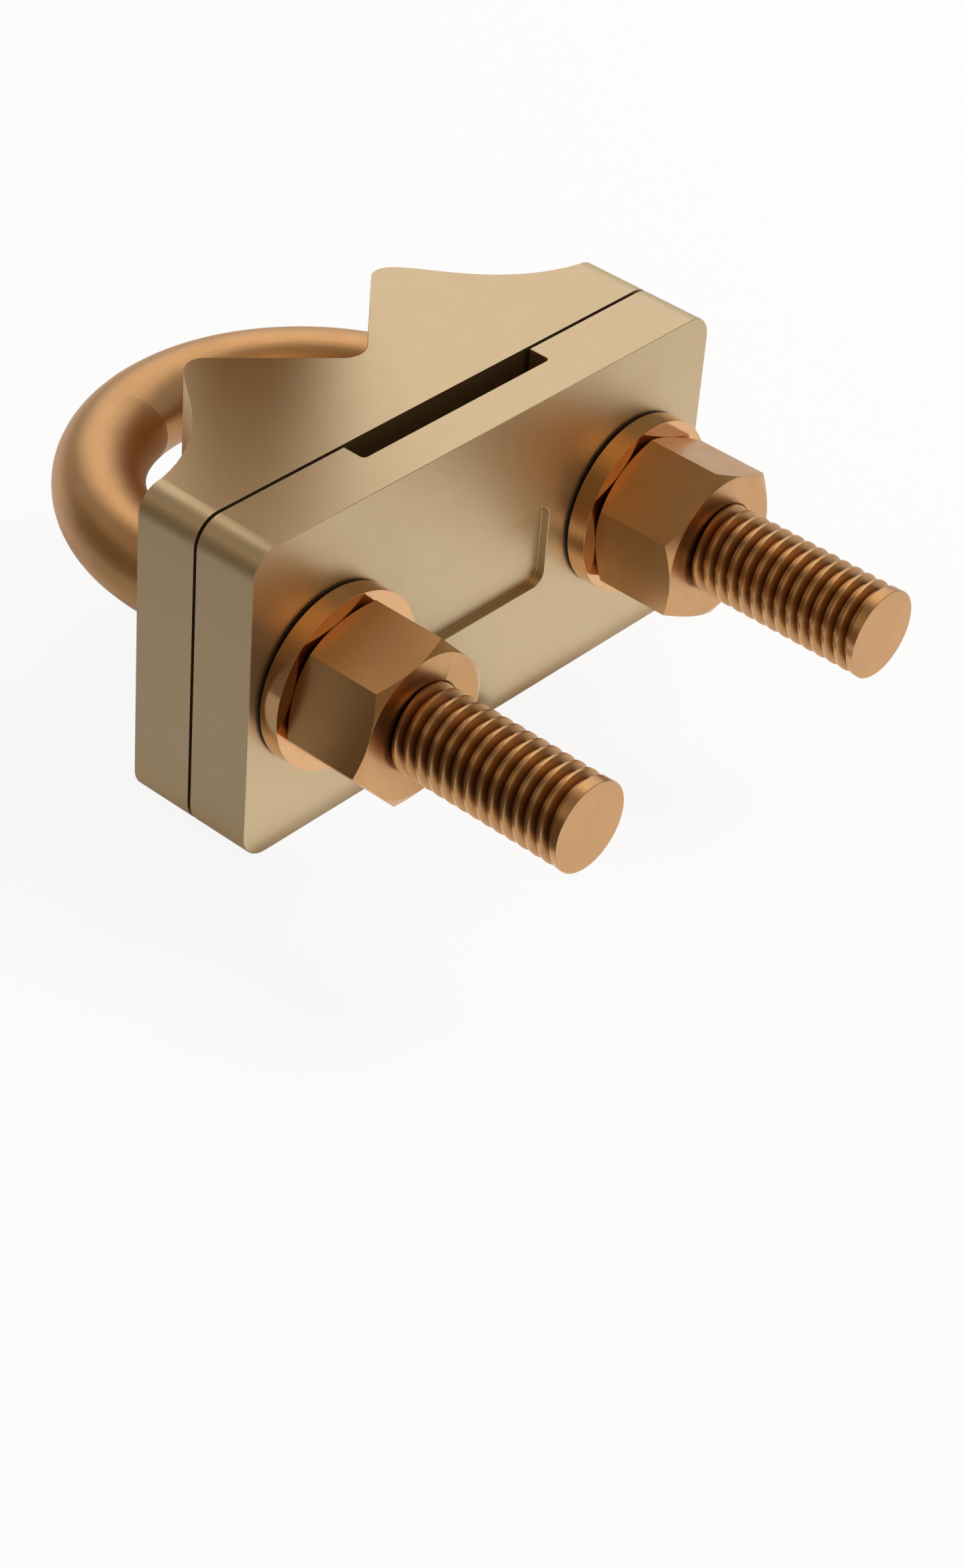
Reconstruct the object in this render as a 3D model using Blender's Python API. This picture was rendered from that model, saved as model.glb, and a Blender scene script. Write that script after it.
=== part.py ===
"""Earth rod clamp: a U-bolt draws a cast saddle and a front plate together, with a tape held between them.

X runs along the clamp from leg to leg, +Y points from the nuts towards the groove and the bend, and +Z
is up, along the groove. The origin is the middle of the tape channel's floor, in the front plate.
"""
from math import cos, pi, radians, sin, tan

import bmesh
import bpy
from mathutils import Vector
from mathutils.geometry import interpolate_bezier

# Both castings share one outline, seen from the front; each end lies one END_MARGIN beyond a leg's axis
LEG_SPACING = 0.0370
END_MARGIN = 0.0090
CLAMP_HEIGHT = 0.0299
CORNER_RADIUS = 0.0025
JOINT_GAP = 0.0003

# Saddle: two flanges, and between them a V-groove between two horns; its depths are from its front face
FLANGE_THICKNESS = 0.00615
FLANGE_LEDGE = 0.0025
GROOVE_HALF_ANGLE = radians(48.0)
GROOVE_APEX = 0.00767
GROOVE_FILLET = 0.0023
HORN_REACH = 0.01705
HORN_TIP_RADIUS = 0.00175
HORN_SIDE_LEAN = radians(26.0)
HORN_SIDE_SHOULDER = 0.0029
HORN_FOOT_LEAN = radians(13.6)
HORN_FOOT_SWEEP = 0.0088

# Front plate: a channel for the tape behind, and a shallow sunk panel in front
PLATE_THICKNESS = 0.00615
TAPE_SLOT_WIDTH = 0.0224
TAPE_SLOT_DEPTH = 0.0022
TAPE_SLOT_FILLET = 0.0004
PANEL_WIDTH = 0.0162
PANEL_HEIGHT = 0.0080
PANEL_DEPTH = 0.0008
PANEL_CORNER_RADIUS = 0.0012

# U-bolt: one round bar, bent in a half circle, placed from the saddle's front face
BAR_DIAMETER = 0.0080
BEND_CENTRE = 0.01265
LEG_REACH = 0.03405
LEG_HOLE_CLEARANCE = 0.0005

# Washers and nuts
WASHER_DIAMETER = 0.0160
WASHER_THICKNESS = 0.0018
WASHER_GAP = 0.0003
WASHER_BORE_CLEARANCE = 0.00025
NUT_ACROSS_FLATS = 0.0130
NUT_FACE_DIAMETER = 0.0129
NUT_HEIGHT = 0.0080
NUT_CHAMFER = radians(30.0)
NUT_GAP = 0.0002
NUT_BORE_CLEARANCE = 0.00025
LEFT_NUT_TURN = radians(13.3)
RIGHT_NUT_TURN = radians(37.0)

# Fineness of round shapes, and how far a cutter runs past what it cuts
BAR_SIDES = 40
BEND_STEPS = 36
BORE_SIDES = 48
RIM_SIDES = 64
ARC_STEPS = 8
SIDE_STEPS = 20
OVERCUT = 0.002

# Places along Y, from the tape channel's floor at zero
PLATE_BACK = TAPE_SLOT_DEPTH
PLATE_FRONT = PLATE_BACK - PLATE_THICKNESS
SADDLE_FRONT = PLATE_BACK + JOINT_GAP
FLANGE_REAR = SADDLE_FRONT + FLANGE_THICKNESS
HORN_REAR = SADDLE_FRONT + HORN_REACH
BEND_Y = SADDLE_FRONT + BEND_CENTRE
LEG_END = SADDLE_FRONT - LEG_REACH
WASHER_BACK = PLATE_FRONT - WASHER_GAP
WASHER_FRONT = WASHER_BACK - WASHER_THICKNESS
NUT_BACK = WASHER_FRONT - NUT_GAP
# Places along X and Z, from the middle planes
LEG_X = LEG_SPACING / 2
HALF_LENGTH = LEG_X + END_MARGIN
HALF_HEIGHT = CLAMP_HEIGHT / 2


def clear_scene():
    """Empty the file of the objects it opened with."""
    for obj in list(bpy.data.objects):
        bpy.data.objects.remove(obj, do_unlink=True)


def material(name, colour, roughness):
    """Bare metal of one colour."""
    mat = bpy.data.materials.new(name)
    mat.use_nodes = True
    shader = mat.node_tree.nodes["Principled BSDF"]
    shader.inputs["Base Color"].default_value = (*colour, 1.0)
    shader.inputs["Metallic"].default_value = 1.0
    shader.inputs["Roughness"].default_value = roughness
    return mat


def add_object(name, bm, mat=None, location=(0.0, 0.0, 0.0)):
    """Turn a bmesh into an object with smooth round faces and sharp corners."""
    bmesh.ops.recalc_face_normals(bm, faces=bm.faces)
    mesh = bpy.data.meshes.new(name)
    bm.to_mesh(mesh)
    bm.free()
    mesh.shade_smooth()
    mesh.set_sharp_from_angle(angle=radians(30.0))
    if mat:
        mesh.materials.append(mat)
    obj = bpy.data.objects.new(name, mesh)
    obj.location = location
    bpy.context.collection.objects.link(obj)
    return obj


def arc(centre, radius, start, end, steps=ARC_STEPS):
    """Points of an arc in the plane, from one angle to another."""
    angles = [start + (end - start) * i / steps for i in range(steps + 1)]
    return [(centre[0] + radius * cos(a), centre[1] + radius * sin(a)) for a in angles]


def rounded_rectangle(half_width, half_height, radius):
    """Outline of a rectangle about the origin with round corners."""
    points = []
    for quarter, (sx, sy) in enumerate(((1, 1), (-1, 1), (-1, -1), (1, -1))):
        centre = (sx * (half_width - radius), sy * (half_height - radius))
        points += arc(centre, radius, quarter * pi / 2, (quarter + 1) * pi / 2)
    return points


def prism(name, outline, axis, low, high, mat=None):
    """Solid with a plane outline: seen along Z the outline is X, Y, and seen along Y it is X, Z."""
    bm = bmesh.new()
    if axis == "Z":
        corners = [(u, v, low) for u, v in outline]
        along = Vector((0.0, 0.0, high - low))
    else:
        corners = [(u, low, v) for u, v in outline]
        along = Vector((0.0, high - low, 0.0))
    face = bm.faces.new([bm.verts.new(c) for c in corners])
    extruded = bmesh.ops.extrude_face_region(bm, geom=[face])
    moved = [v for v in extruded["geom"] if isinstance(v, bmesh.types.BMVert)]
    bmesh.ops.translate(bm, vec=along, verts=moved)
    return add_object(name, bm, mat)


def turned(name, profile, sides, mat=None, location=(0.0, 0.0, 0.0), ring=False):
    """Solid turned about Y from radii and places along Y; a ring has a closed profile and no end caps."""
    bm = bmesh.new()
    verts = [bm.verts.new((radius, along, 0.0)) for radius, along in profile]
    pairs = list(zip(verts, verts[1:]))
    if ring:
        pairs.append((verts[-1], verts[0]))
    edges = [bm.edges.new(pair) for pair in pairs]
    bmesh.ops.spin(bm, geom=verts + edges, cent=(0, 0, 0), axis=(0, 1, 0),
                   angle=2 * pi, steps=sides, use_merge=True)
    bmesh.ops.holes_fill(bm, edges=[e for e in bm.edges if e.is_boundary], sides=0)
    return add_object(name, bm, mat, location)


def combine(target, tool, operation):
    """Cut a solid with another, or keep what they share; the tool stays in the file as a wire guide."""
    modifier = target.modifiers.new(tool.name, "BOOLEAN")
    modifier.operation = operation
    modifier.solver = "EXACT"
    modifier.object = tool
    tool.hide_render = True
    tool.display_type = "WIRE"


def drill_leg_holes(target, back, front):
    """Clearance holes for both legs, right through a casting."""
    radius = BAR_DIAMETER / 2 + LEG_HOLE_CLEARANCE
    for side, x in (("left", -LEG_X), ("right", LEG_X)):
        profile = [(radius, front - OVERCUT), (radius, back + OVERCUT)]
        drill = turned(f"{target.name}_{side}_drill", profile, BORE_SIDES, location=(x, 0.0, 0.0))
        combine(target, drill, "DIFFERENCE")


def saddle_half_outline():
    """Right half of the saddle seen from above, from the groove's bottom round the horn to the front."""
    half = GROOVE_HALF_ANGLE
    flank_normal = Vector((cos(half), -sin(half)))
    flank = Vector((sin(half), cos(half)))
    apex = Vector((0.0, SADDLE_FRONT + GROOVE_APEX))
    fillet_centre = apex + Vector((0.0, GROOVE_FILLET / sin(half)))
    points = arc(fillet_centre, GROOVE_FILLET, -pi / 2, -half)
    tip_y = HORN_REAR - HORN_TIP_RADIUS
    along = (tip_y - apex.y - HORN_TIP_RADIUS * flank_normal.y) / flank.y
    tip_centre = apex + flank * along + flank_normal * HORN_TIP_RADIUS
    points += arc(tip_centre, HORN_TIP_RADIUS, pi - half, pi / 2 - HORN_SIDE_LEAN)
    shoulder = Vector((*points[-1], 0.0))
    foot = Vector((HALF_LENGTH - FLANGE_LEDGE, FLANGE_REAR, 0.0))
    lean = HORN_SIDE_LEAN
    handle = shoulder + HORN_SIDE_SHOULDER * Vector((cos(lean), -sin(lean), 0.0))
    foot_handle = foot + HORN_FOOT_SWEEP * Vector((-cos(HORN_FOOT_LEAN), sin(HORN_FOOT_LEAN), 0.0))
    side = interpolate_bezier(shoulder, handle, foot_handle, foot, SIDE_STEPS + 1)
    points += [(p.x, p.y) for p in side[1:]]
    points += [(HALF_LENGTH + OVERCUT, FLANGE_REAR), (HALF_LENGTH + OVERCUT, SADDLE_FRONT)]
    return points


def make_saddle(mat):
    """Rear casting: its plan outline runs through its height, and its ends are rounded like the plate's."""
    right = saddle_half_outline()
    left = [(-x, y) for x, y in reversed(right[1:])]
    saddle = prism("saddle", right + left, "Z", -HALF_HEIGHT - OVERCUT, HALF_HEIGHT + OVERCUT, mat)
    outline = rounded_rectangle(HALF_LENGTH, HALF_HEIGHT, CORNER_RADIUS)
    envelope = prism("saddle_envelope", outline, "Y", SADDLE_FRONT - OVERCUT, HORN_REAR + OVERCUT)
    combine(saddle, envelope, "INTERSECT")
    drill_leg_holes(saddle, HORN_REAR, SADDLE_FRONT)
    return saddle


def slot_outline():
    """Tape channel seen from above, open towards the joint, with small fillets in its floor corners."""
    half = TAPE_SLOT_WIDTH / 2
    radius = TAPE_SLOT_FILLET
    left = arc((-half + radius, radius), radius, pi, 3 * pi / 2)
    right = arc((half - radius, radius), radius, 3 * pi / 2, 2 * pi)
    return [(-half, PLATE_BACK + OVERCUT)] + left + right + [(half, PLATE_BACK + OVERCUT)]


def make_clamp_plate(mat):
    """Front casting, with the tape channel behind and a sunk panel in front."""
    outline = rounded_rectangle(HALF_LENGTH, HALF_HEIGHT, CORNER_RADIUS)
    plate = prism("clamp_plate", outline, "Y", PLATE_FRONT, PLATE_BACK, mat)
    slot = prism("tape_slot", slot_outline(), "Z", -HALF_HEIGHT - OVERCUT, HALF_HEIGHT + OVERCUT)
    combine(plate, slot, "DIFFERENCE")
    panel_outline = rounded_rectangle(PANEL_WIDTH / 2, PANEL_HEIGHT / 2, PANEL_CORNER_RADIUS)
    panel = prism("sunk_panel", panel_outline, "Y", PLATE_FRONT - OVERCUT, PLATE_FRONT + PANEL_DEPTH)
    combine(plate, panel, "DIFFERENCE")
    drill_leg_holes(plate, PLATE_BACK, PLATE_FRONT)
    return plate


def make_u_bolt(mat):
    """Round bar run back along the left leg, round the bend and forward along the right leg."""
    bm = bmesh.new()
    angles = [2 * pi * i / BAR_SIDES for i in range(BAR_SIDES)]
    radius = BAR_DIAMETER / 2
    ends = [(-LEG_X + radius * cos(a), LEG_END, radius * sin(a)) for a in angles]
    tip = bm.faces.new([bm.verts.new(p) for p in ends])
    leg = bmesh.ops.extrude_edge_only(bm, edges=list(tip.edges))["geom"]
    leg_end = [v for v in leg if isinstance(v, bmesh.types.BMVert)]
    bmesh.ops.translate(bm, vec=(0.0, BEND_Y - LEG_END, 0.0), verts=leg_end)
    start = [e for e in leg if isinstance(e, bmesh.types.BMEdge)]
    bend = bmesh.ops.spin(bm, geom=start, cent=(0.0, BEND_Y, 0.0), axis=(0, 0, 1),
                          angle=-pi, steps=BEND_STEPS)["geom_last"]
    last = [e for e in bend if isinstance(e, bmesh.types.BMEdge)]
    leg = bmesh.ops.extrude_edge_only(bm, edges=last)["geom"]
    leg_end = [v for v in leg if isinstance(v, bmesh.types.BMVert)]
    bmesh.ops.translate(bm, vec=(0.0, LEG_END - BEND_Y, 0.0), verts=leg_end)
    bmesh.ops.holes_fill(bm, edges=[e for e in bm.edges if e.is_boundary], sides=0)
    return add_object("u_bolt", bm, mat)


def make_washer(name, x, mat):
    """Flat ring with a clearance bore."""
    bore = BAR_DIAMETER / 2 + WASHER_BORE_CLEARANCE
    rim = WASHER_DIAMETER / 2
    profile = [(bore, WASHER_BACK), (rim, WASHER_BACK), (rim, WASHER_FRONT), (bore, WASHER_FRONT)]
    return turned(name, profile, RIM_SIDES, mat, location=(x, 0.0, 0.0), ring=True)


def make_nut(name, x, turn, mat):
    """Hexagon nut with both faces chamfered, standing on its leg's axis."""
    corner = NUT_ACROSS_FLATS / 2 / cos(pi / 6)
    hexagon = [(corner * cos(i * pi / 3), corner * sin(i * pi / 3)) for i in range(6)]
    nut = prism(name, hexagon, "Y", -NUT_HEIGHT - OVERCUT, OVERCUT, mat)
    face = NUT_FACE_DIAMETER / 2
    rim = corner + OVERCUT
    slope = (rim - face) * tan(NUT_CHAMFER)
    profile = [(face, 0.0), (rim, -slope), (rim, slope - NUT_HEIGHT), (face, -NUT_HEIGHT)]
    blank = turned(f"{name}_blank", profile, RIM_SIDES)
    bore = BAR_DIAMETER / 2 + NUT_BORE_CLEARANCE
    drill = turned(f"{name}_drill", [(bore, OVERCUT), (bore, -NUT_HEIGHT - OVERCUT)], BORE_SIDES)
    combine(nut, blank, "INTERSECT")
    combine(nut, drill, "DIFFERENCE")
    blank.parent = nut
    drill.parent = nut
    nut.location = (x, NUT_BACK, 0.0)
    nut.rotation_euler = (0.0, -turn, 0.0)
    return nut


def main():
    clear_scene()
    cast = material("cast_bronze", (0.62, 0.49, 0.31), 0.42)
    bar = material("drawn_bronze", (0.60, 0.34, 0.15), 0.30)
    washer = material("bright_bronze", (0.72, 0.43, 0.22), 0.12)
    make_saddle(cast)
    make_clamp_plate(cast)
    make_u_bolt(bar)
    make_washer("washer_left", -LEG_X, washer)
    make_washer("washer_right", LEG_X, washer)
    make_nut("nut_left", -LEG_X, LEFT_NUT_TURN, bar)
    make_nut("nut_right", LEG_X, RIGHT_NUT_TURN, bar)
    bpy.context.view_layer.update()


main()
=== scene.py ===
"""Looks of the earth rod clamp: two cast bronze halves drawn together by a threaded U-bolt.

All lengths are in metres, in the frame of the solids: +X from the left leg to the right leg,
+Y from the nuts towards the bend, +Z up. The origin is on the floor of the tape channel.
"""

from math import atan2, cos, pi, radians, sin, tan

import bmesh
import bpy
from mathutils import Matrix, Vector


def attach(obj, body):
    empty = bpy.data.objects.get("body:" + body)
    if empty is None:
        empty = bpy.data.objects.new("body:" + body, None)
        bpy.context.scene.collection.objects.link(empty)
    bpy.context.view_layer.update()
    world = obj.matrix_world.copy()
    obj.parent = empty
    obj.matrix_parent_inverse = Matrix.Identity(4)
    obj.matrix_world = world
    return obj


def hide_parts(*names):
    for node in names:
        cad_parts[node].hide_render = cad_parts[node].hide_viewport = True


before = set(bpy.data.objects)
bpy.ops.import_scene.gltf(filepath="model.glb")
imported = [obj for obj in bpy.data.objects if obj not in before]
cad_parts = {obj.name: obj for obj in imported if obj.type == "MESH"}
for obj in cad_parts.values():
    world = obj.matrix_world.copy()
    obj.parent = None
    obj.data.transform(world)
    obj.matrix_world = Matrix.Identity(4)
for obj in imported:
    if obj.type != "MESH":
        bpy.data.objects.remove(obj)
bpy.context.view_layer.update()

# Legs of the U-bolt
LEG_X = 0.0185
BAR_RADIUS = 0.004
LEG_END = -0.03155
BEND_Y = 0.01515
BAR_SIDES = 40
BEND_STEPS = 96

# M8 thread, with a root that crosses the +X side of each leg at ROOT_Y
PITCH = 0.00125
STEPS_PER_PITCH = 40
THREAD_STEP = PITCH / STEPS_PER_PITCH
THREAD_STEPS = 1060
ROOT_STEPS = 377
THREAD_INNER_END = LEG_END + THREAD_STEPS * THREAD_STEP
ROOT_Y = LEG_END + ROOT_STEPS * THREAD_STEP
THREAD_DEPTH = 0.00065
CREST_SHARE = 0.20
ROOT_SHARE = 0.20
PLAIN_TIP = 0.0005
PLAIN_INNER_END = 0.0006
RUN_OUT = 0.0005

# Nuts, each turned from a corner on the +X side
NUT_BACK = -0.00607
NUT_HEIGHT = 0.00818
NUT_FLATS = 0.0130
NUT_FACE_RADIUS = 0.00648
NUT_CHAMFER = radians(30.0)
NUT_MOUTH_RADIUS = 0.00413
NUT_THREAD_GAP = 0.00006
NUT_SIDES = 120
NUT_STEPS_PER_PITCH = 20
NUT_TURNS = {"left": radians(13.3), "right": radians(37.0)}

# Washers
WASHER_BACK = -0.00425
WASHER_THICKNESS = 0.0018
WASHER_RADIUS = 0.0080
WASHER_BORE = 0.00425
WASHER_SIDES = 160

# Broken edges, and what counts as sharp, flat or in the same place
CASTING_EDGE = 0.00007
TIP_EDGE = 0.00005
NUT_EDGE = 0.00002
WASHER_EDGE = 0.000015
EDGE_SEGMENTS = 2
SHARP_FROM = radians(28.0)
TURNED_SHARP_FROM = radians(20.0)
RIM_FROM = radians(60.0)
FLAT_WITHIN = radians(0.6)
MERGED_WITHIN = 2e-6
NEAR = 1e-6


# Meshes


def new_object(name, bm):
    """Object at the origin made from a bmesh, which is freed."""
    mesh = bpy.data.meshes.new(name)
    bm.to_mesh(mesh)
    bm.free()
    made = bpy.data.objects.new(name, mesh)
    bpy.context.scene.collection.objects.link(made)
    return made


def finished(name, bm, body, material, replaced, sharp_from=SHARP_FROM):
    """Turn a bmesh into a piece that rides on a body and stands for a solid."""
    bmesh.ops.recalc_face_normals(bm, faces=bm.faces)
    piece = new_object(name, bm)
    piece.data.shade_smooth()
    piece.data.set_sharp_from_angle(angle=sharp_from)
    piece.data.materials.append(material)
    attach(piece, body)
    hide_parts(replaced)
    return piece


def soften_edges(piece, width):
    """Break the sharp edges with a narrow bevel that keeps the flats flat."""
    bevel = piece.modifiers.new("broken edges", "BEVEL")
    bevel.width = width
    bevel.segments = EDGE_SEGMENTS
    bevel.limit_method = "ANGLE"
    bevel.angle_limit = SHARP_FROM
    bevel.harden_normals = True
    bevel.miter_outer = "MITER_ARC"


def break_rims(bm, rims, width):
    """Bevel the rims of a turned piece in its mesh."""
    bmesh.ops.bevel(
        bm,
        geom=rims,
        offset=width,
        offset_type="OFFSET",
        affect="EDGES",
        segments=EDGE_SEGMENTS,
        profile=0.5,
        material=-1,
    )


def thread_dip(turns):
    """Depth of the thread from 0 at the crest to 1 at the root, this many turns on from a root."""
    off_root = abs(turns - round(turns)) * 2.0
    return min(max((1.0 - CREST_SHARE - off_root) / (1.0 - CREST_SHARE - ROOT_SHARE), 0.0), 1.0)


def smooth_step(value):
    """Ease a value from 0 to 1, and hold it at both ends."""
    value = min(max(value, 0.0), 1.0)
    return value * value * (3.0 - 2.0 * value)


def cut_thread(verts, leg_x, outer, low, high):
    """Sink a right-hand thread into the points round a leg, running out at both ends."""
    for v in verts:
        x = v.co.x - leg_x
        z = v.co.z
        turns = (v.co.y - ROOT_Y) / PITCH + atan2(z, x) / (2.0 * pi)
        root_y = v.co.y - (turns - round(turns)) * PITCH
        fade = smooth_step((root_y - low) / RUN_OUT) * smooth_step((high - root_y) / RUN_OUT)
        scale = (outer - THREAD_DEPTH * thread_dip(turns) * fade) / (x * x + z * z) ** 0.5
        v.co.x = leg_x + x * scale
        v.co.z = z * scale


def ring(sides, radius, y, leg_x, turn=0.0):
    """New bmesh with a ring round a leg, its first point at this turn from +X to +Z, and its edges."""
    bm = bmesh.new()
    upright = Matrix.Rotation(-turn, 4, "Y") @ Matrix.Rotation(radians(90.0), 4, "X")
    turned = Matrix.Translation((leg_x, y, 0.0)) @ upright
    bmesh.ops.create_circle(bm, segments=sides, radius=radius, matrix=turned)
    return bm, list(bm.edges)


def extruded(bm, edges, move=None, place=None):
    """Extrude a ring and shift it or place its points; give its edges and those that lead to it."""
    made = bmesh.ops.extrude_edge_only(bm, edges=edges)["geom"]
    verts = [g for g in made if isinstance(g, bmesh.types.BMVert)]
    new_edges = [g for g in made if isinstance(g, bmesh.types.BMEdge)]
    if move:
        bmesh.ops.translate(bm, vec=move, verts=verts)
    if place:
        for v in verts:
            v.co = place(v.co)
    fresh = set(verts)
    across = [e for v in verts for e in v.link_edges if not set(e.verts) <= fresh]
    return new_edges, across


def make_u_bolt(material):
    """Round bar with a threaded end on each leg, in one closed skin from tip to tip."""
    threaded = THREAD_INNER_END - LEG_END
    plain = BEND_Y - THREAD_INNER_END
    bm, edges = ring(BAR_SIDES, BAR_RADIUS, LEG_END, -LEG_X)
    edges, left_across = extruded(bm, edges, move=(0.0, threaded, 0.0))
    edges, _ = extruded(bm, edges, move=(0.0, plain, 0.0))
    made = bmesh.ops.spin(
        bm,
        geom=edges,
        cent=(0.0, BEND_Y, 0.0),
        axis=(0.0, 0.0, -1.0),
        angle=pi,
        steps=BEND_STEPS,
        use_merge=False,
    )["geom_last"]
    edges = [g for g in made if isinstance(g, bmesh.types.BMEdge)]
    edges, _ = extruded(bm, edges, move=(0.0, -plain, 0.0))
    _, right_across = extruded(bm, edges, move=(0.0, -threaded, 0.0))
    bmesh.ops.subdivide_edges(
        bm, edges=left_across + right_across, cuts=THREAD_STEPS - 1, use_grid_fill=False
    )
    bmesh.ops.holes_fill(bm, edges=[e for e in bm.edges if e.is_boundary], sides=0)
    for side in (-1, 1):
        verts = [v for v in bm.verts if v.co.x * side > 0 and v.co.y < THREAD_INNER_END + NEAR]
        low, high = LEG_END + PLAIN_TIP, THREAD_INNER_END - PLAIN_INNER_END
        cut_thread(verts, side * LEG_X, BAR_RADIUS, low, high)
    threaded_faces = [
        f for f in bm.faces if len(f.verts) == 4 and f.calc_center_median().y < THREAD_INNER_END
    ]
    bmesh.ops.triangulate(bm, faces=threaded_faces, quad_method="SHORT_EDGE")
    rims = [e for e in bm.edges if all(abs(v.co.y - LEG_END) < NEAR for v in e.verts)]
    break_rims(bm, rims, TIP_EDGE)
    finished(
        "u_bolt_threaded", bm, "bolt", material, "u_bolt", TURNED_SHARP_FROM
    )


def make_washer(name, leg_x, material):
    """Flat washer turned from bar, its bore a little wider than the leg."""

    def widened(factor):
        return lambda co: Vector((leg_x + (co.x - leg_x) * factor, co.y, co.z * factor))

    bm, bore = ring(WASHER_SIDES, WASHER_BORE, WASHER_BACK, leg_x)
    edges, _ = extruded(bm, bore, place=widened(WASHER_RADIUS / WASHER_BORE))
    edges, _ = extruded(bm, edges, move=(0.0, -WASHER_THICKNESS, 0.0))
    edges, _ = extruded(bm, edges, place=widened(WASHER_BORE / WASHER_RADIUS))
    bmesh.ops.bridge_loops(bm, edges=bore + edges)
    rims = [e for e in bm.edges if e.calc_face_angle(0.0) > RIM_FROM]
    break_rims(bm, rims, WASHER_EDGE)
    finished(
        name + "_turned", bm, "plate", material, name, TURNED_SHARP_FROM
    )


def hexagon_radius(angle):
    """Distance from a nut's axis to its flats, in the direction of an angle from a corner."""
    off_flat = (angle % radians(60.0)) - radians(30.0)
    return NUT_FLATS / 2.0 / cos(off_flat)


def make_nut(name, leg_x, turn, body, material):
    """Hexagon nut, both faces chamfered, with a countersunk thread that meshes with its leg."""
    front = NUT_BACK - NUT_HEIGHT
    bore = BAR_RADIUS + NUT_THREAD_GAP
    sink = NUT_MOUTH_RADIUS - bore

    def placed(radius_at, y_at):
        """Place points by a radius for their angle from a corner, and a depth for that radius."""

        def place(co):
            angle = atan2(co.z, co.x - leg_x)
            radius = radius_at(angle - turn)
            return Vector((leg_x + radius * cos(angle), y_at(radius), radius * sin(angle)))

        return place

    def turned(radius, y):
        """Place points in a circle."""
        return placed(lambda _: radius, lambda _: y)

    def drop(radius):
        """How far the chamfer has fallen away at a radius."""
        return (radius - NUT_FACE_RADIUS) * tan(NUT_CHAMFER)

    bm, mouth = ring(NUT_SIDES, NUT_MOUTH_RADIUS, NUT_BACK, leg_x, turn)
    edges = mouth
    for place in (
        turned(NUT_FACE_RADIUS, NUT_BACK),
        placed(hexagon_radius, lambda radius: NUT_BACK - drop(radius)),
        placed(hexagon_radius, lambda radius: front + drop(radius)),
        turned(NUT_FACE_RADIUS, front),
        turned(NUT_MOUTH_RADIUS, front),
        turned(bore, front + sink),
        turned(bore, NUT_BACK - sink),
    ):
        edges, across = extruded(bm, edges, place=place)
    bmesh.ops.bridge_loops(bm, edges=mouth + edges)
    cuts = round((NUT_HEIGHT - 2.0 * sink) / PITCH * NUT_STEPS_PER_PITCH) - 1
    bmesh.ops.subdivide_edges(bm, edges=across, cuts=cuts, use_grid_fill=False)
    inside = [v for v in bm.verts if (v.co - Vector((leg_x, v.co.y, 0.0))).length < bore + NEAR]
    cut_thread(inside, leg_x, bore, front - PITCH, NUT_BACK + PITCH)
    nut = finished(name + "_threaded", bm, body, material, name)
    soften_edges(nut, NUT_EDGE)


def make_casting(node, body, material):
    """Copy of a casting with its triangles joined into whole faces and its edges broken."""
    bm = bmesh.new()
    bm.from_mesh(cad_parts[node].data)
    bmesh.ops.remove_doubles(bm, verts=bm.verts, dist=MERGED_WITHIN)
    bmesh.ops.dissolve_limit(
        bm,
        angle_limit=FLAT_WITHIN,
        verts=bm.verts,
        edges=bm.edges,
        use_dissolve_boundaries=False,
    )
    casting = finished(node + "_cast", bm, body, material, node)
    soften_edges(casting, CASTING_EDGE)


# Marks of making, most of them as a number to the metre

CAST_GRAINS = 8000.0
CAST_WAVES = 420.0
CAST_PITS = 1500.0
PITTED_AREAS = 700.0
PIT_FLOOR, PIT_RIM = 0.05, 0.22
WAVE_HEIGHT = 0.7
PIT_DEPTH = 0.9
PIT_MARK = 0.35
TURNED_RINGS = 6000.0
FACED_RINGS = 4500.0
RING_BREAKS = 500.0
DRAWN_LINES = 7000.0
LINE_SHORTENING = 0.02
DRAWN_ROUGHNESS = 0.36
BURNISH_FADE = 0.0008
FACED_FROM, FACED_FULL = 0.2, 0.4
EDGE_OPEN, EDGE_CLOSED = 0.95, 0.45
OCCLUSION_SAMPLES = 6
POLISH_SMOOTHING = 0.12


# Materials


def new_material(name):
    material = bpy.data.materials.new(name)
    material.use_nodes = True
    return material, material.node_tree.nodes, material.node_tree.links


def mathed(nodes, links, operation, first, second=0.0, clamp=False):
    """Math node with each input a socket or a number."""
    node = nodes.new("ShaderNodeMath")
    node.operation = operation
    node.use_clamp = clamp
    for socket, value in zip(node.inputs, (first, second)):
        if isinstance(value, float):
            socket.default_value = value
        else:
            links.new(value, socket)
    return node.outputs[0]


def vector_math(nodes, links, operation, first, second=None, scale=None):
    """Vector Math node with each input a socket or a constant."""
    node = nodes.new("ShaderNodeVectorMath")
    node.operation = operation
    for name, value in ((0, first), (1, second), ("Scale", scale)):
        if value is None:
            continue
        if isinstance(value, (tuple, Vector)):
            node.inputs[name].default_value = value
        else:
            links.new(value, node.inputs[name])
    return node.outputs["Value" if operation in ("DOT_PRODUCT", "LENGTH") else "Vector"]


def mapped(nodes, links, value, low, high, to_low=0.0, to_high=1.0):
    """Value eased from one range to another, and held at both ends."""
    node = nodes.new("ShaderNodeMapRange")
    node.interpolation_type = "SMOOTHSTEP"
    ends = {"From Min": low, "From Max": high, "To Min": to_low, "To Max": to_high}
    for name, number in ends.items():
        if isinstance(number, float):
            node.inputs[name].default_value = number
        else:
            links.new(number, node.inputs[name])
    links.new(value, node.inputs["Value"])
    return node.outputs["Result"]


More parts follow.
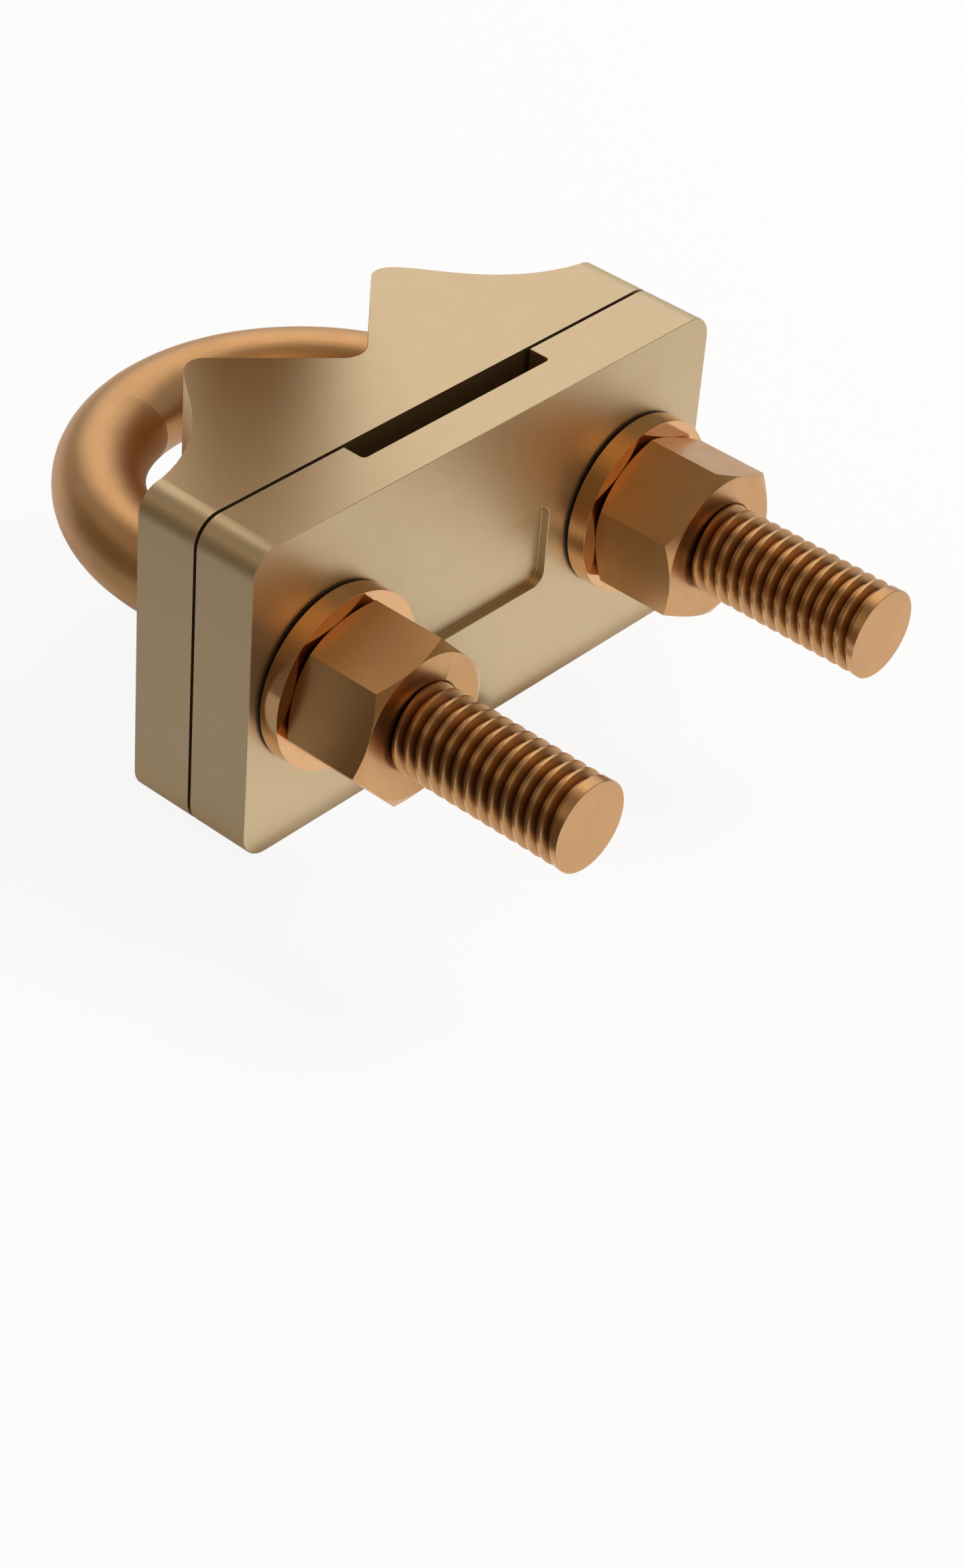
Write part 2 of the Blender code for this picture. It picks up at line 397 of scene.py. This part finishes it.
def noise(nodes, links, vector, scale, detail=2.0, roughness=0.5):
    """Noise over a place vector, its scale a number or a socket."""
    node = nodes.new("ShaderNodeTexNoise")
    node.inputs["Detail"].default_value = detail
    node.inputs["Roughness"].default_value = roughness
    if isinstance(scale, float):
        node.inputs["Scale"].default_value = scale
    else:
        links.new(scale, node.inputs["Scale"])
    links.new(vector, node.inputs["Vector"])
    return node.outputs["Fac"]


def split_up(nodes, links, vector):
    """X, Y and Z of a vector, by name."""
    node = nodes.new("ShaderNodeSeparateXYZ")
    links.new(vector, node.inputs[0])
    return node.outputs


def put_together(nodes, links, **parts):
    """Vector from sockets for some of X, Y and Z, with the rest at 0."""
    node = nodes.new("ShaderNodeCombineXYZ")
    for name, value in parts.items():
        links.new(value, node.inputs[name])
    return node.outputs[0]


def mixed(nodes, links, share, first, second):
    """Colour mixed from two sockets by a share, through the Mix node's colour sockets."""
    node = nodes.new("ShaderNodeMix")
    node.data_type = "RGBA"
    for number, socket in ((0, share), (6, first), (7, second)):
        links.new(socket, node.inputs[number])
    return node.outputs[2]


def node_group(name, inputs, outputs):
    """Empty shader node group with named inputs and outputs."""
    group = bpy.data.node_groups.new(name, "ShaderNodeTree")
    for label, kind, value in inputs:
        socket = group.interface.new_socket(
            name=label, in_out="INPUT", socket_type="NodeSocket" + kind
        )
        socket.default_value = value
    for label, kind in outputs:
        group.interface.new_socket(
            name=label, in_out="OUTPUT", socket_type="NodeSocket" + kind
        )
    nodes = group.nodes
    given = nodes.new("NodeGroupInput").outputs
    return group, nodes, group.links, given, nodes.new("NodeGroupOutput").inputs


def placed_group(nodes, links, group, **values):
    """Node group with its inputs set from sockets, numbers or colours, by their names."""
    node = nodes.new("ShaderNodeGroup")
    node.node_tree = group
    for name, value in values.items():
        socket = node.inputs[name.replace("_", " ")]
        if isinstance(value, (float, tuple)):
            socket.default_value = (*value, 1.0) if isinstance(value, tuple) else value
        else:
            links.new(value, socket)
    return node.outputs


def make_cast_skin():
    """Skin of a sand casting: fine grain with a few small pits and a slow unevenness."""
    group, nodes, links, given, out = node_group(
        "cast skin",
        (("Place", "Vector", (0.0, 0.0, 0.0)), ("Grains per metre", "Float", CAST_GRAINS)),
        (("Height", "Float"), ("Marks", "Float")),
    )
    place = given["Place"]
    grain = noise(nodes, links, place, given["Grains per metre"], 3.0, 0.6)
    waves = mathed(nodes, links, "MULTIPLY", noise(nodes, links, place, CAST_WAVES), WAVE_HEIGHT)
    cells = nodes.new("ShaderNodeTexVoronoi")
    cells.inputs["Scale"].default_value = CAST_PITS
    links.new(place, cells.inputs["Vector"])
    pits = mapped(nodes, links, cells.outputs["Distance"], PIT_FLOOR, PIT_RIM, -1.0, 0.0)
    areas = mapped(nodes, links, noise(nodes, links, place, PITTED_AREAS, 1.0), 0.56, 0.66)
    pits = mathed(nodes, links, "MULTIPLY", pits, areas)
    height = mathed(nodes, links, "ADD", grain, waves)
    sunk = mathed(nodes, links, "MULTIPLY", pits, PIT_DEPTH)
    links.new(mathed(nodes, links, "ADD", height, sunk), out["Height"])
    marks = mathed(nodes, links, "SUBTRACT", grain, 0.5)
    pit_marks = mathed(nodes, links, "MULTIPLY", pits, PIT_MARK)
    links.new(mathed(nodes, links, "ADD", marks, pit_marks), out["Marks"])
    return group


def make_turned_rings():
    """Rings left by a lathe round the axis of the leg, on faces and along rims."""
    group, nodes, links, given, out = node_group(
        "turned rings",
        (("Place", "Vector", (0.0, 0.0, 0.0)), ("Rings per metre", "Float", TURNED_RINGS)),
        (("Height", "Float"), ("Marks", "Float")),
    )
    place = split_up(nodes, links, given["Place"])
    across = mathed(nodes, links, "ABSOLUTE", place["X"])
    across = mathed(nodes, links, "SUBTRACT", across, LEG_X)
    flat = put_together(nodes, links, X=across, Z=place["Z"])
    radius = vector_math(nodes, links, "LENGTH", flat)
    ringed = put_together(nodes, links, X=radius, Y=place["Y"])
    fine = noise(nodes, links, ringed, given["Rings per metre"])
    broken = mapped(
        nodes, links, noise(nodes, links, given["Place"], RING_BREAKS, 1.0), 0.3, 0.7, 0.5, 1.2
    )
    marks = mathed(nodes, links, "SUBTRACT", fine, 0.5)
    links.new(mathed(nodes, links, "MULTIPLY", marks, broken), out["Marks"])
    links.new(fine, out["Height"])
    return group


def make_drawn_lines():
    """Fine lines along the drawn bar, straight on the legs and round the bend."""
    group, nodes, links, given, out = node_group(
        "drawn lines",
        (("Place", "Vector", (0.0, 0.0, 0.0)), ("Lines per metre", "Float", DRAWN_LINES)),
        (("Height", "Float"), ("Marks", "Float")),
    )
    place = split_up(nodes, links, given["Place"])
    beyond = mathed(nodes, links, "SUBTRACT", place["Y"], BEND_Y)
    beyond = mathed(nodes, links, "MAXIMUM", beyond, 0.0)
    side = mathed(nodes, links, "ABSOLUTE", place["X"])
    flat = put_together(nodes, links, X=side, Y=beyond)
    across = mathed(nodes, links, "SUBTRACT", vector_math(nodes, links, "LENGTH", flat), LEG_X)
    turn = mathed(nodes, links, "ARCTAN2", beyond, side)
    along = mathed(nodes, links, "MINIMUM", place["Y"], BEND_Y)
    along = mathed(nodes, links, "ADD", along, mathed(nodes, links, "MULTIPLY", turn, LEG_X))
    along = mathed(nodes, links, "MULTIPLY", along, LINE_SHORTENING)
    drawn = put_together(nodes, links, X=across, Y=place["Z"], Z=along)
    fine = noise(nodes, links, drawn, given["Lines per metre"])
    links.new(fine, out["Height"])
    links.new(mathed(nodes, links, "SUBTRACT", fine, 0.5), out["Marks"])
    return group


def make_edges_and_crevice_shade():
    """Masks of the crevices and contacts, where the colour is darkened as painted shade, and of the
    outer edges, where it is lightened as handling wear and, on the thread crests, as a painted
    highlight.
    """
    group, nodes, links, given, out = node_group(
        "edges and crevice shade",
        (
            ("Crevice reach", "Float", 0.0014),
            ("Edge reach", "Float", 0.00012),
            ("Open", "Float", 0.92),
            ("Closed", "Float", 0.30),
        ),
        (("Crevice", "Float"), ("Edge", "Float")),
    )
    # The crevice mask also sees the other pieces and the floor, so it drives painted shade at contacts
    # as well as in hollows.
    for label, inside, low, high in (
        ("Crevice", False, given["Open"], given["Closed"]),
        ("Edge", True, EDGE_OPEN, EDGE_CLOSED),
    ):
        near = nodes.new("ShaderNodeAmbientOcclusion")
        near.samples = OCCLUSION_SAMPLES
        near.inside = inside
        near.only_local = inside
        links.new(given[label + " reach"], near.inputs["Distance"])
        links.new(mapped(nodes, links, near.outputs["AO"], low, high), out[label])
    return group


def make_metal_tone():
    """Colour and roughness of a bare metal from its marks, slow tarnish patches, painted shade in its
    crevices and contacts, and edges lightened as wear and painted highlight.
    """
    group, nodes, links, given, out = node_group(
        "metal tone",
        (
            ("Place", "Vector", (0.0, 0.0, 0.0)),
            ("Clean", "Color", (0.6, 0.4, 0.2, 1.0)),
            ("Tarnished", "Color", (0.3, 0.2, 0.1, 1.0)),
            ("Polished", "Color", (0.7, 0.5, 0.3, 1.0)),
            ("Marks", "Float", 0.0),
            ("Crevice", "Float", 0.0),
            ("Edge", "Float", 0.0),
            ("Patches per metre", "Float", 260.0),
            ("Patch amount", "Float", 0.2),
            ("Mark amount", "Float", 0.2),
            ("Tarnish amount", "Float", 0.8),
            ("Polish amount", "Float", 0.4),
            ("Roughness", "Float", 0.3),
            ("Roughness spread", "Float", 0.1),
        ),
        (("Colour", "Color"), ("Roughness", "Float")),
    )
    patch = noise(nodes, links, given["Place"], given["Patches per metre"], 3.0, 0.6)
    patch = mapped(nodes, links, patch, 0.3, 0.7)
    # Painted shade: crevices and contacts darkened towards the dark colour.
    hidden = mathed(nodes, links, "MULTIPLY", given["Crevice"], given["Tarnish amount"])
    marks = mathed(nodes, links, "MULTIPLY", given["Marks"], given["Mark amount"])
    share = mathed(nodes, links, "MULTIPLY", patch, given["Patch amount"])
    share = mathed(nodes, links, "SUBTRACT", share, marks)
    share = mathed(nodes, links, "ADD", share, hidden, clamp=True)
    colour = mixed(nodes, links, share, given["Clean"], given["Tarnished"])
    # Edges lightened towards the light colour: handling wear, and on the thread crests a painted
    # highlight.
    polish_and_highlight = mathed(nodes, links, "MULTIPLY", given["Edge"], given["Polish amount"], clamp=True)
    links.new(mixed(nodes, links, polish_and_highlight, colour, given["Polished"]), out["Colour"])
    centred = mathed(nodes, links, "SUBTRACT", patch, 0.5)
    centred = mathed(nodes, links, "SUBTRACT", centred, given["Marks"])
    centred = mathed(nodes, links, "ADD", centred, given["Crevice"])
    spread = mathed(nodes, links, "MULTIPLY", centred, given["Roughness spread"])
    rough = mathed(nodes, links, "ADD", spread, given["Roughness"])
    smoothed = mathed(nodes, links, "MULTIPLY", polish_and_highlight, POLISH_SMOOTHING)
    links.new(mathed(nodes, links, "SUBTRACT", rough, smoothed, clamp=True), out["Roughness"])
    return group


cast_skin = make_cast_skin()
turned_rings = make_turned_rings()
drawn_lines = make_drawn_lines()
edges_and_crevice_shade = make_edges_and_crevice_shade()
metal_tone = make_metal_tone()


def joined_marks(nodes, links, first, second, share):
    """Height and marks of two finishes, the second where the share is 1."""
    joined = {}
    for name in ("Height", "Marks"):
        gap = mathed(nodes, links, "SUBTRACT", second[name], first[name])
        gap = mathed(nodes, links, "MULTIPLY", gap, share)
        joined[name] = mathed(nodes, links, "ADD", first[name], gap)
    return joined


def threaded_share(nodes, links, place):
    """1 on the threaded ends of the legs and 0 on the rest of the bar."""
    y = split_up(nodes, links, place)["Y"]
    return mapped(nodes, links, y, THREAD_INNER_END - BURNISH_FADE, THREAD_INNER_END, 1.0, 0.0)


def faced_share(nodes, links, normal):
    """1 on what a lathe has faced or chamfered, and 0 on flats along the leg."""
    steep = mathed(nodes, links, "ABSOLUTE", split_up(nodes, links, normal)["Y"])
    return mapped(nodes, links, steep, FACED_FROM, FACED_FULL)


def metal(name, clean, tarnish_and_shade, polish_and_highlight, roughness, marks, depth, masks, **amounts):
    """Bare metal with its marks as bump, and in its colour and roughness tarnish patches, painted
    shade in the crevices, and edges lightened as wear and painted highlight.
    """
    material, nodes, links = new_material(name)
    shader = nodes["Principled BSDF"]
    shader.inputs["Metallic"].default_value = 1.0
    coordinates = nodes.new("ShaderNodeTexCoord").outputs
    place = coordinates["Object"]
    if marks == "cast":
        found = placed_group(nodes, links, cast_skin, Place=place)
    elif marks == "turned":
        found = placed_group(nodes, links, turned_rings, Place=place)
    else:
        turned = placed_group(
            nodes, links, turned_rings, Place=place, Rings_per_metre=FACED_RINGS
        )
        drawn = placed_group(nodes, links, drawn_lines, Place=place)
        if marks == "drawn and threaded":
            share = threaded_share(nodes, links, place)
            burnished = mathed(nodes, links, "MULTIPLY", share, DRAWN_ROUGHNESS - roughness)
            roughness = mathed(nodes, links, "SUBTRACT", DRAWN_ROUGHNESS, burnished)
        else:
            share = faced_share(nodes, links, coordinates["Normal"])
        found = joined_marks(nodes, links, drawn, turned, share)
    seen = placed_group(nodes, links, edges_and_crevice_shade, **masks)
    tone = placed_group(
        nodes,
        links,
        metal_tone,
        Place=place,
        Clean=clean,
        Tarnished=tarnish_and_shade,
        Polished=polish_and_highlight,
        Marks=found["Marks"],
        Crevice=seen["Crevice"],
        Edge=seen["Edge"],
        Roughness=roughness,
        **amounts,
    )
    links.new(tone["Colour"], shader.inputs["Base Color"])
    links.new(tone["Roughness"], shader.inputs["Roughness"])
    bump = nodes.new("ShaderNodeBump")
    bump.inputs["Strength"].default_value = 1.0
    bump.inputs["Distance"].default_value = depth
    links.new(found["Height"], bump.inputs["Height"])
    links.new(bump.outputs[0], shader.inputs["Normal"])
    return material


# Each metal's dark colour serves both its tarnish patches and the painted shade of its crevices and
# contacts. Its light colour is for the edges, as wear and painted highlight.
cast_bronze = metal(
    "cast bronze",
    clean=(0.635, 0.497, 0.31),
    tarnish_and_shade=(0.40, 0.28, 0.15),
    polish_and_highlight=(0.72, 0.58, 0.39),
    roughness=0.40,
    marks="cast",
    depth=0.000005,
    masks={"Crevice_reach": 0.0006, "Edge_reach": 0.00012, "Open": 0.80, "Closed": 0.20},
    Patch_amount=0.02,
    Patches_per_metre=420.0,
    Mark_amount=0.40,
    Tarnish_amount=0.55,
    Polish_amount=0.5,
    Roughness_spread=0.02,
)
drawn_bronze = metal(
    "drawn bronze",
    clean=(0.62, 0.352, 0.157),
    tarnish_and_shade=(0.17, 0.066, 0.016),
    polish_and_highlight=(0.70, 0.43, 0.22),
    roughness=0.30,
    marks="drawn and threaded",
    depth=0.000002,
    masks={"Crevice_reach": 0.0014, "Edge_reach": 0.00012, "Open": 0.92, "Closed": 0.30},
    Patch_amount=0.08,
    Mark_amount=0.14,
    Tarnish_amount=0.9,
    Polish_amount=0.5,
    Roughness_spread=0.02,
)
nut_bronze = metal(
    "nut bronze",
    clean=(0.62, 0.352, 0.157),
    tarnish_and_shade=(0.13, 0.06, 0.025),
    polish_and_highlight=(0.70, 0.47, 0.28),
    roughness=0.31,
    marks="drawn and faced",
    depth=0.000001,
    masks={"Crevice_reach": 0.0009, "Edge_reach": 0.00010, "Open": 0.34, "Closed": 0.08},
    Patch_amount=0.08,
    Mark_amount=0.08,
    Tarnish_amount=0.85,
    Polish_amount=0.4,
    Roughness_spread=0.03,
)
bright_bronze = metal(
    "bright bronze",
    clean=(0.75, 0.445, 0.222),
    tarnish_and_shade=(0.14, 0.065, 0.028),
    polish_and_highlight=(0.80, 0.52, 0.29),
    roughness=0.15,
    marks="turned",
    depth=0.0000012,
    masks={"Crevice_reach": 0.0009, "Edge_reach": 0.00005, "Open": 0.34, "Closed": 0.08},
    Patch_amount=0.06,
    Mark_amount=0.20,
    Tarnish_amount=0.75,
    Polish_amount=0.4,
    Roughness_spread=0.05,
)

make_u_bolt(drawn_bronze)
for side, x in (("left", -LEG_X), ("right", LEG_X)):
    make_washer("washer_" + side, x, bright_bronze)
    make_nut("nut_" + side, x, NUT_TURNS[side], side + "_nut", nut_bronze)
for node, body in (("saddle", "saddle_casting"), ("clamp_plate", "plate")):
    make_casting(node, body, cast_bronze)


# Studio

FLOOR_Z = -0.01495
ON_FLOOR = FLOOR_Z + 0.0001
ON_FRONT_CARD = FLOOR_Z + 0.0003
FLOOR_RADIUS = 3.0
FLOOR_SIDES = 96
FLOOR_GREY = (0.86, 0.86, 0.86, 1.0)
FLOOR_ROUGHNESS = 0.9
FLOOR_WHITE_SEEN = 0.90
FLOOR_WHITE_MIRRORED = 0.15

LAMP_PLACE = (0.62, -0.26, 0.52)
LAMP_TARGET = (0.0, 0.0, 0.0)
LAMP_SIZE = 0.35
LAMP_POWER = 4.5

# Cards: name, place, point they face, width and height, light, and where they thin out
CARDS = (
    (
        "left card",
        (-0.090, 0.045, 0.012),
        (0.0, 0.0, 0.0),
        (0.20, 0.07),
        (0.175, 0.142, 0.105),
        None,
    ),
    (
        "standing card",
        (0.0, 0.024, 0.0515),
        (-0.0779, -0.0387, 0.0515),
        (0.023, 0.127),
        (0.20, 0.10, 0.04),
        (0.7, 0.1),
    ),
    (
        "front card",
        (0.009, -0.044, ON_FLOOR),
        (0.009, -0.044, 1.0),
        (0.142, 0.078),
        (0.98, 0.95, 0.92),
        None,
    ),
    (
        "low front card",
        (0.0, -0.080, 0.015),
        (0.0, 0.0, 0.015),
        (0.19, 0.060),
        (0.26, 0.20, 0.13),
        None,
    ),
    (
        "left front card",
        (-0.033, -0.036, -0.003),
        (0.0, -0.036, -0.003),
        (0.060, 0.023),
        (0.12, 0.09, 0.06),
        None,
    ),
    (
        "dark card",
        (-0.0030, -0.0140, ON_FRONT_CARD),
        (-0.0030, -0.0140, 1.0),
        (0.013, 0.018),
        (0.10, 0.08, 0.06),
        None,
    ),
    (
        "side card",
        (-0.075, 0.045, ON_FLOOR),
        (-0.075, 0.045, 1.0),
        (0.090, 0.12),
        (0.42, 0.41, 0.39),
        None,
    ),
)

# Light of the room, and its patches: direction, degrees to where each is full and gone, colour
ROOM_LEVEL = (0.24, 0.20, 0.15)
ROOM_PATCHES = (
    ((0.60, 0.48, 0.62), 16.0, 43.0, (0.88, 0.90, 0.92)),
    ((-0.08, -0.55, 0.83), 6.0, 32.0, (0.70, 0.50, 0.28)),
    ((0.70, -0.55, 0.45), 10.0, 40.0, (0.15, 0.21, 0.29)),
    ((-0.10, 0.95, 0.20), 10.0, 42.0, (0.16, 0.18, 0.22)),
    ((-0.66, 0.52, 0.44), 6.0, 36.0, (0.21, 0.165, 0.115)),
    ((0.34, 0.485, 0.805), 7.0, 24.0, (0.27, 0.17, 0.075)),
)

CAMERA_PLACE = Vector((-0.19487, -0.16280, 0.17327))
CAMERA_AZIMUTH = 0.8925
CAMERA_DIP = 0.6586
CAMERA_ROLL = 0.0864
CAMERA_LENS_MM = 84.50
CAMERA_SENSOR_MM = 36.0
CAMERA_NEAREST = 0.005


def make_floor():
    """Pale round floor, white to the camera and a little in the metal, that keeps the shadow."""
    bm = bmesh.new()
    lowered = Matrix.Translation((0.0, 0.0, FLOOR_Z))
    bmesh.ops.create_circle(
        bm, cap_ends=True, segments=FLOOR_SIDES, radius=FLOOR_RADIUS, matrix=lowered
    )
    floor = new_object("floor", bm)
    material, nodes, links = new_material("pale floor")
    shader = nodes["Principled BSDF"]
    shader.inputs["Base Color"].default_value = FLOOR_GREY
    shader.inputs["Roughness"].default_value = FLOOR_ROUGHNESS
    shader.inputs["Specular IOR Level"].default_value = 0.0
    white = nodes.new("ShaderNodeEmission")
    white.inputs["Strength"].default_value = 1.0
    path = nodes.new("ShaderNodeLightPath").outputs
    mirrored = mathed(
        nodes, links, "MAXIMUM", path["Is Glossy Ray"], path["Is Transmission Ray"]
    )
    mirrored = mathed(nodes, links, "MULTIPLY", mirrored, FLOOR_WHITE_MIRRORED)
    seen = mathed(nodes, links, "MULTIPLY", path["Is Camera Ray"], FLOOR_WHITE_SEEN)
    mix = nodes.new("ShaderNodeMixShader")
    links.new(mathed(nodes, links, "MAXIMUM", mirrored, seen), mix.inputs[0])
    links.new(shader.outputs[0], mix.inputs[1])
    links.new(white.outputs[0], mix.inputs[2])
    links.new(mix.outputs[0], nodes["Material Output"].inputs["Surface"])
    floor.data.materials.append(material)


def facing(place, target):
    """Rotation that points an object's -Z from a place towards a target."""
    return (Vector(target) - Vector(place)).to_track_quat("-Z", "Y")


def make_floor_lamp():
    """Soft lamp that gives the shadow on the floor and doesn't show in the metal."""
    lamp = bpy.data.lights.new("floor lamp", "AREA")
    lamp.shape = "RECTANGLE"
    lamp.size = LAMP_SIZE
    lamp.size_y = LAMP_SIZE
    lamp.energy = LAMP_POWER
    stand = bpy.data.objects.new("floor lamp", lamp)
    stand.location = LAMP_PLACE
    stand.rotation_euler = facing(LAMP_PLACE, LAMP_TARGET).to_euler()
    stand.visible_glossy = False
    bpy.context.scene.collection.objects.link(stand)


def thinned_out(nodes, links, glow, place, turn, half, fade):
    """Shader of a card that turns clear over this share of each half, across and along."""
    flat = nodes.new("ShaderNodeMapping")
    flat.vector_type = "TEXTURE"
    flat.inputs["Location"].default_value = place
    flat.inputs["Rotation"].default_value = turn.to_euler()
    flat.inputs["Scale"].default_value = half
    links.new(nodes.new("ShaderNodeTexCoord").outputs["Object"], flat.inputs["Vector"])
    on_card = split_up(nodes, links, flat.outputs[0])
    shares = []
    for axis, share in zip("XY", fade):
        out = mathed(nodes, links, "ABSOLUTE", on_card[axis])
        shares.append(mapped(nodes, links, out, 1.0 - share, 1.0, 1.0, 0.0))
    mix = nodes.new("ShaderNodeMixShader")
    links.new(mathed(nodes, links, "MULTIPLY", *shares), mix.inputs[0])
    links.new(nodes.new("ShaderNodeBsdfTransparent").outputs[0], mix.inputs[1])
    links.new(glow, mix.inputs[2])
    return mix.outputs[0]


def studio_card(name, place, target, size, level, fade):
    """Card beside the clamp that shows only in the metal, as a dark or a bright band."""
    turn = facing(place, target)
    half = (size[0] / 2.0, size[1] / 2.0, 1.0)
    set_up = Matrix.Translation(place) @ turn.to_matrix().to_4x4() @ Matrix.Diagonal((*half, 1.0))
    bm = bmesh.new()
    bmesh.ops.create_grid(bm, x_segments=1, y_segments=1, size=1.0, matrix=set_up)
    card = new_object(name, bm)
    material, nodes, links = new_material(name)
    glow = nodes.new("ShaderNodeEmission")
    glow.inputs["Color"].default_value = (*level, 1.0)
    seen = glow.outputs[0]
    if fade:
        seen = thinned_out(nodes, links, seen, place, turn, half, fade)
    links.new(seen, nodes["Material Output"].inputs["Surface"])
    card.data.materials.append(material)
    card.visible_camera = False
    card.visible_diffuse = False
    card.visible_shadow = False


def make_world():
    """Dim warm room with soft bright patches in given directions."""
    world = bpy.data.worlds.new("studio")
    bpy.context.scene.world = world
    world.use_nodes = True
    nodes, links = world.node_tree.nodes, world.node_tree.links
    place = nodes.new("ShaderNodeTexCoord").outputs["Generated"]
    total = ROOM_LEVEL
    for direction, inner, outer, colour in ROOM_PATCHES:
        toward = vector_math(nodes, links, "DOT_PRODUCT", place, Vector(direction).normalized())
        share = mapped(nodes, links, toward, cos(radians(outer)), cos(radians(inner)))
        patch = vector_math(nodes, links, "SCALE", colour, scale=share)
        total = vector_math(nodes, links, "ADD", patch, total)
    links.new(total, nodes["Background"].inputs["Color"])


def make_camera():
    """Camera above and in front of the clamp's left end, rolled a little."""
    data = bpy.data.cameras.new("camera")
    data.lens = CAMERA_LENS_MM
    data.sensor_width = CAMERA_SENSOR_MM
    data.clip_start = CAMERA_NEAREST
    camera = bpy.data.objects.new("camera", data)
    forward = Vector(
        (
            cos(CAMERA_DIP) * sin(CAMERA_AZIMUTH),
            cos(CAMERA_DIP) * cos(CAMERA_AZIMUTH),
            -sin(CAMERA_DIP),
        )
    )
    level = Vector((cos(CAMERA_AZIMUTH), -sin(CAMERA_AZIMUTH), 0.0))
    upright = level.cross(forward)
    right = cos(CAMERA_ROLL) * level + sin(CAMERA_ROLL) * upright
    up = -sin(CAMERA_ROLL) * level + cos(CAMERA_ROLL) * upright
    turned = Matrix((right, up, -forward)).transposed().to_4x4()
    camera.matrix_world = Matrix.Translation(CAMERA_PLACE) @ turned
    bpy.context.scene.collection.objects.link(camera)
    bpy.context.scene.camera = camera


make_floor()
make_floor_lamp()
for card in CARDS:
    studio_card(*card)
make_world()
make_camera()
bpy.context.scene.view_settings.view_transform = "Standard"
